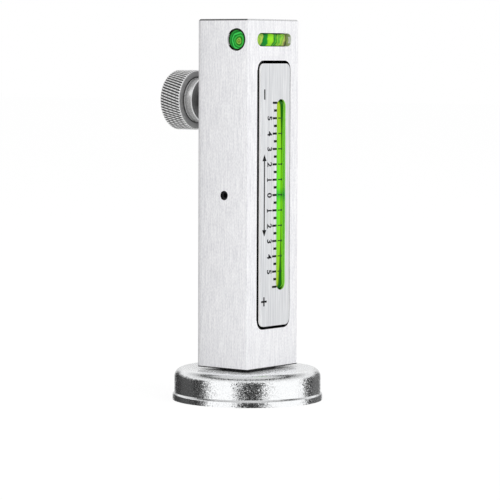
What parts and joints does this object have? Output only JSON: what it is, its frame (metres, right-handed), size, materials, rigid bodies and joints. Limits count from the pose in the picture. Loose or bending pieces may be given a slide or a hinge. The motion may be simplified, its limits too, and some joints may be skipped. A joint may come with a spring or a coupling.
{
  "type": "camber caster gauge",
  "caption": "Wheel alignment gauge: a square aluminium bar on a round magnet, with long bubble vials on two sides, a level vial across the top and a knurled knob that tilts one scale.",
  "frame": {"origin": "middle of the magnet's contact face", "axes": "+Z from the magnet's face along the bar; -Y is the way the camber scale faces, +Y the way the caster scale and its knob face; the level vial's round window is in the -X side"},
  "size_m": [0.06, 0.0659, 0.1515],
  "materials": {
    "housing": "fine satin mill finish",
    "scale_plate": "brushed along its length",
    "knob": "diamond knurl, turned ends",
    "magnet_cup": "bright plated",
    "steel": "turned",
    "dark_steel": "black oxide",
    "spring": "drawn wire",
    "brass": "turned",
    "magnet": "ground ceramic",
    "black_plastic": "moulded",
    "filler": "cast",
    "grey_plug": "moulded",
    "vial": "clear acrylic",
    "fluid": "green liquid"
  },
  "bodies": {
    "housing": {"magnet_cup": "magnet_cup", "ring_magnet": "magnet", "magnet_filler": "filler", "pole_piece": "steel", "spacer_washer": "dark_steel", "centre_bolt": "steel", "plunger_spring": "spring", "housing": "housing", "level_vial": "vial", "level_fluid": "fluid", "level_vial_plug": "grey_plug", "camber_carrier": "black_plastic", "camber_scale_plate": "scale_plate", "camber_vial": "vial", "camber_fluid": "fluid", "camber_vial_plug": "grey_plug", "pivot_screw": "dark_steel", "camber_lock_screw": "dark_steel", "screw_bush": "steel", "return_spring": "spring"},
    "plunger": {"plunger": "steel"},
    "thrust_pad": {"thrust_pad": "brass"},
    "knob": {"adjusting_screw": "steel", "adjusting_knob": "knob", "knob_set_screw": "dark_steel"},
    "caster_carrier": {"caster_carrier": "black_plastic", "caster_scale_plate": "scale_plate", "caster_vial": "vial", "caster_fluid": "fluid", "caster_vial_plug": "grey_plug"}
  },
  "joints": [
    {"name": "knob_turn", "type": "hinge", "parent": "thrust_pad", "child": "knob", "pos_m": [0, 0.0221, 0.1193], "axis": [0, 1, 0], "range_deg": [-721, 721]},
    {"name": "screw_travel", "type": "slide", "parent": "housing", "child": "thrust_pad", "axis": [0, 1, 0], "range_m": [-0.002, 0.002]},
    {"name": "caster_tilt", "type": "hinge", "parent": "housing", "child": "caster_carrier", "pos_m": [0.0004, -0.0008, 0.08215], "axis": [-1, 0, 0], "range_deg": [-3.09, 3.09], "deforming": ["return_spring"]},
    {"name": "plunger_slide", "type": "slide", "parent": "housing", "child": "plunger", "axis": [0, 0, -1], "range_m": [0, 0.006], "stiffness_N_per_m": 150, "springref_m": 0.012, "deforming": ["plunger_spring"]}
  ],
  "couplings": [
    {"joint": "knob_turn", "follows": "screw_travel", "rad_per_m": 6283.2},
    {"joint": "caster_tilt", "follows": "screw_travel", "rad_per_m": 26.918}
  ]
}
